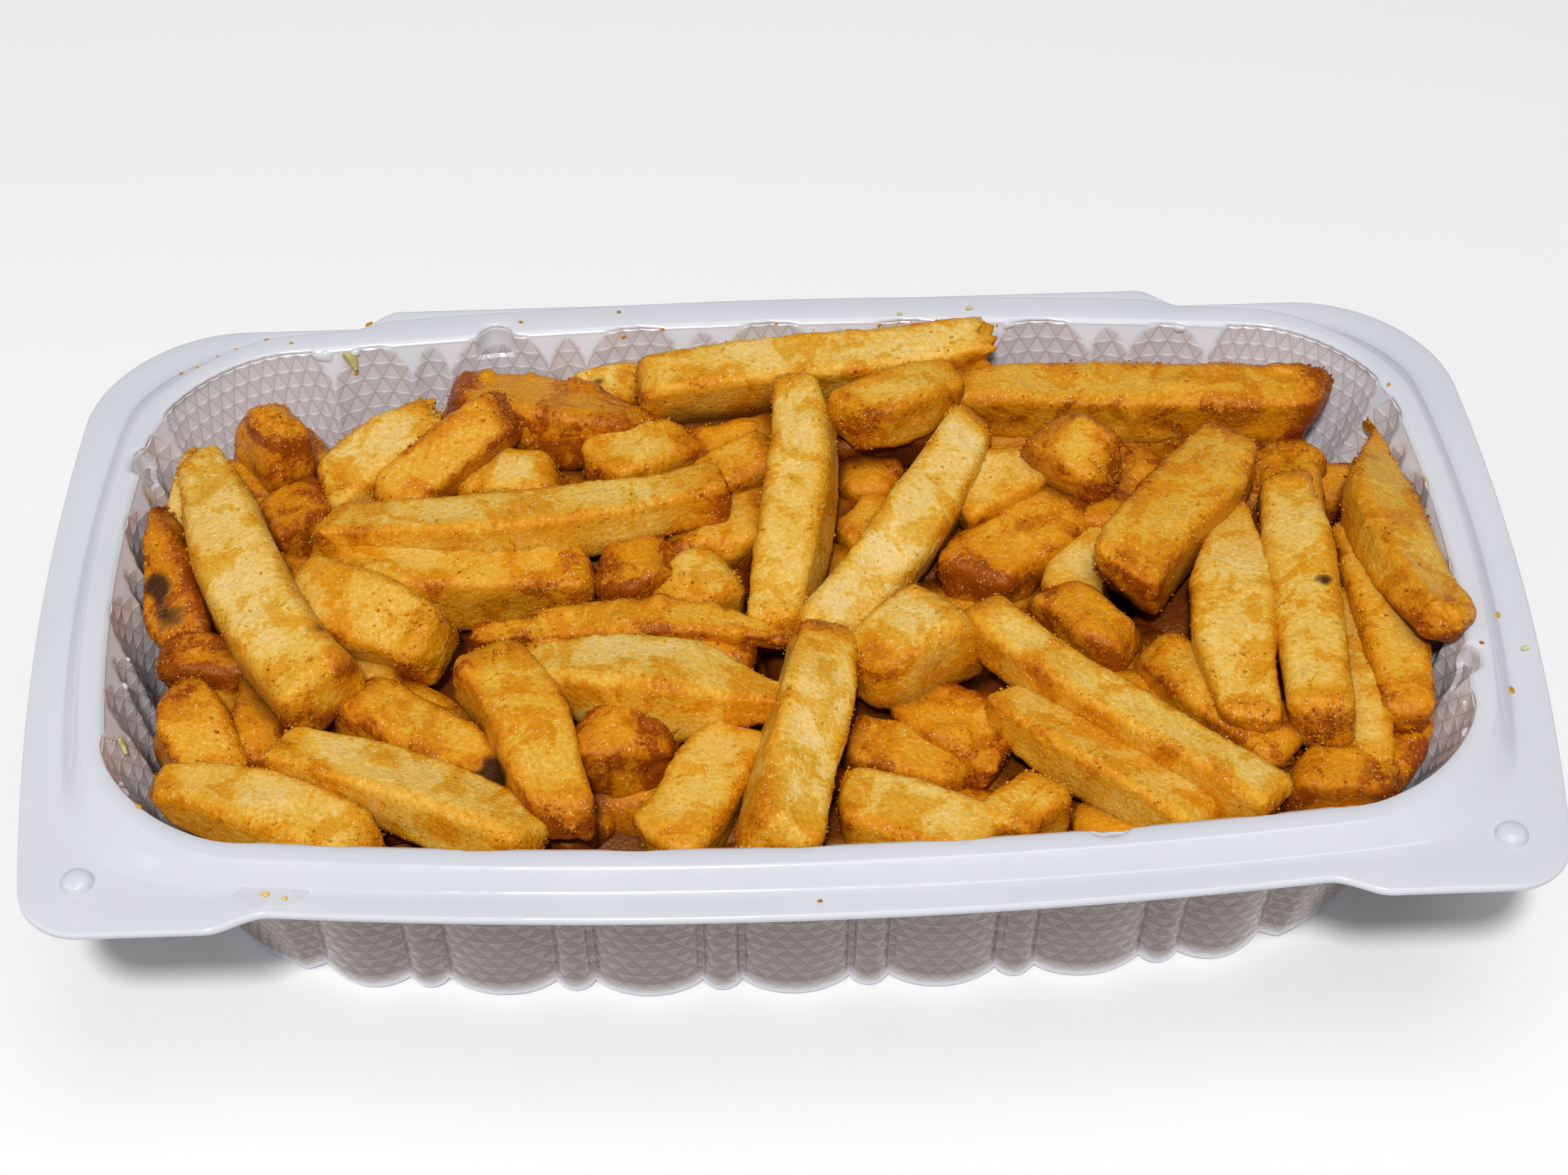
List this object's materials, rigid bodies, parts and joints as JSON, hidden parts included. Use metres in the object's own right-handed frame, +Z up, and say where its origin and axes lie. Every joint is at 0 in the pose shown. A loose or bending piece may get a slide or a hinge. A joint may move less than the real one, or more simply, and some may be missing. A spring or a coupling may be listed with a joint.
{
  "type": "tray of french fries",
  "caption": "White ribbed plastic food tray with flared front corners and a raised rim, heaped with chunky golden french fries.",
  "frame": {"origin": "middle of the tray's underside, under the centre of the flange in plan", "axes": "+X along the tray to the right, +Y to the back, away from the two flared corners, +Z up"},
  "size_m": [0.2524, 0.1457, 0.0569],
  "materials": {
    "plastic": "glossy",
    "fried_potato": "satin"
  },
  "bodies": {
    "root": {"tray": "plastic", "fries": "fried_potato"}
  },
  "joints": []
}
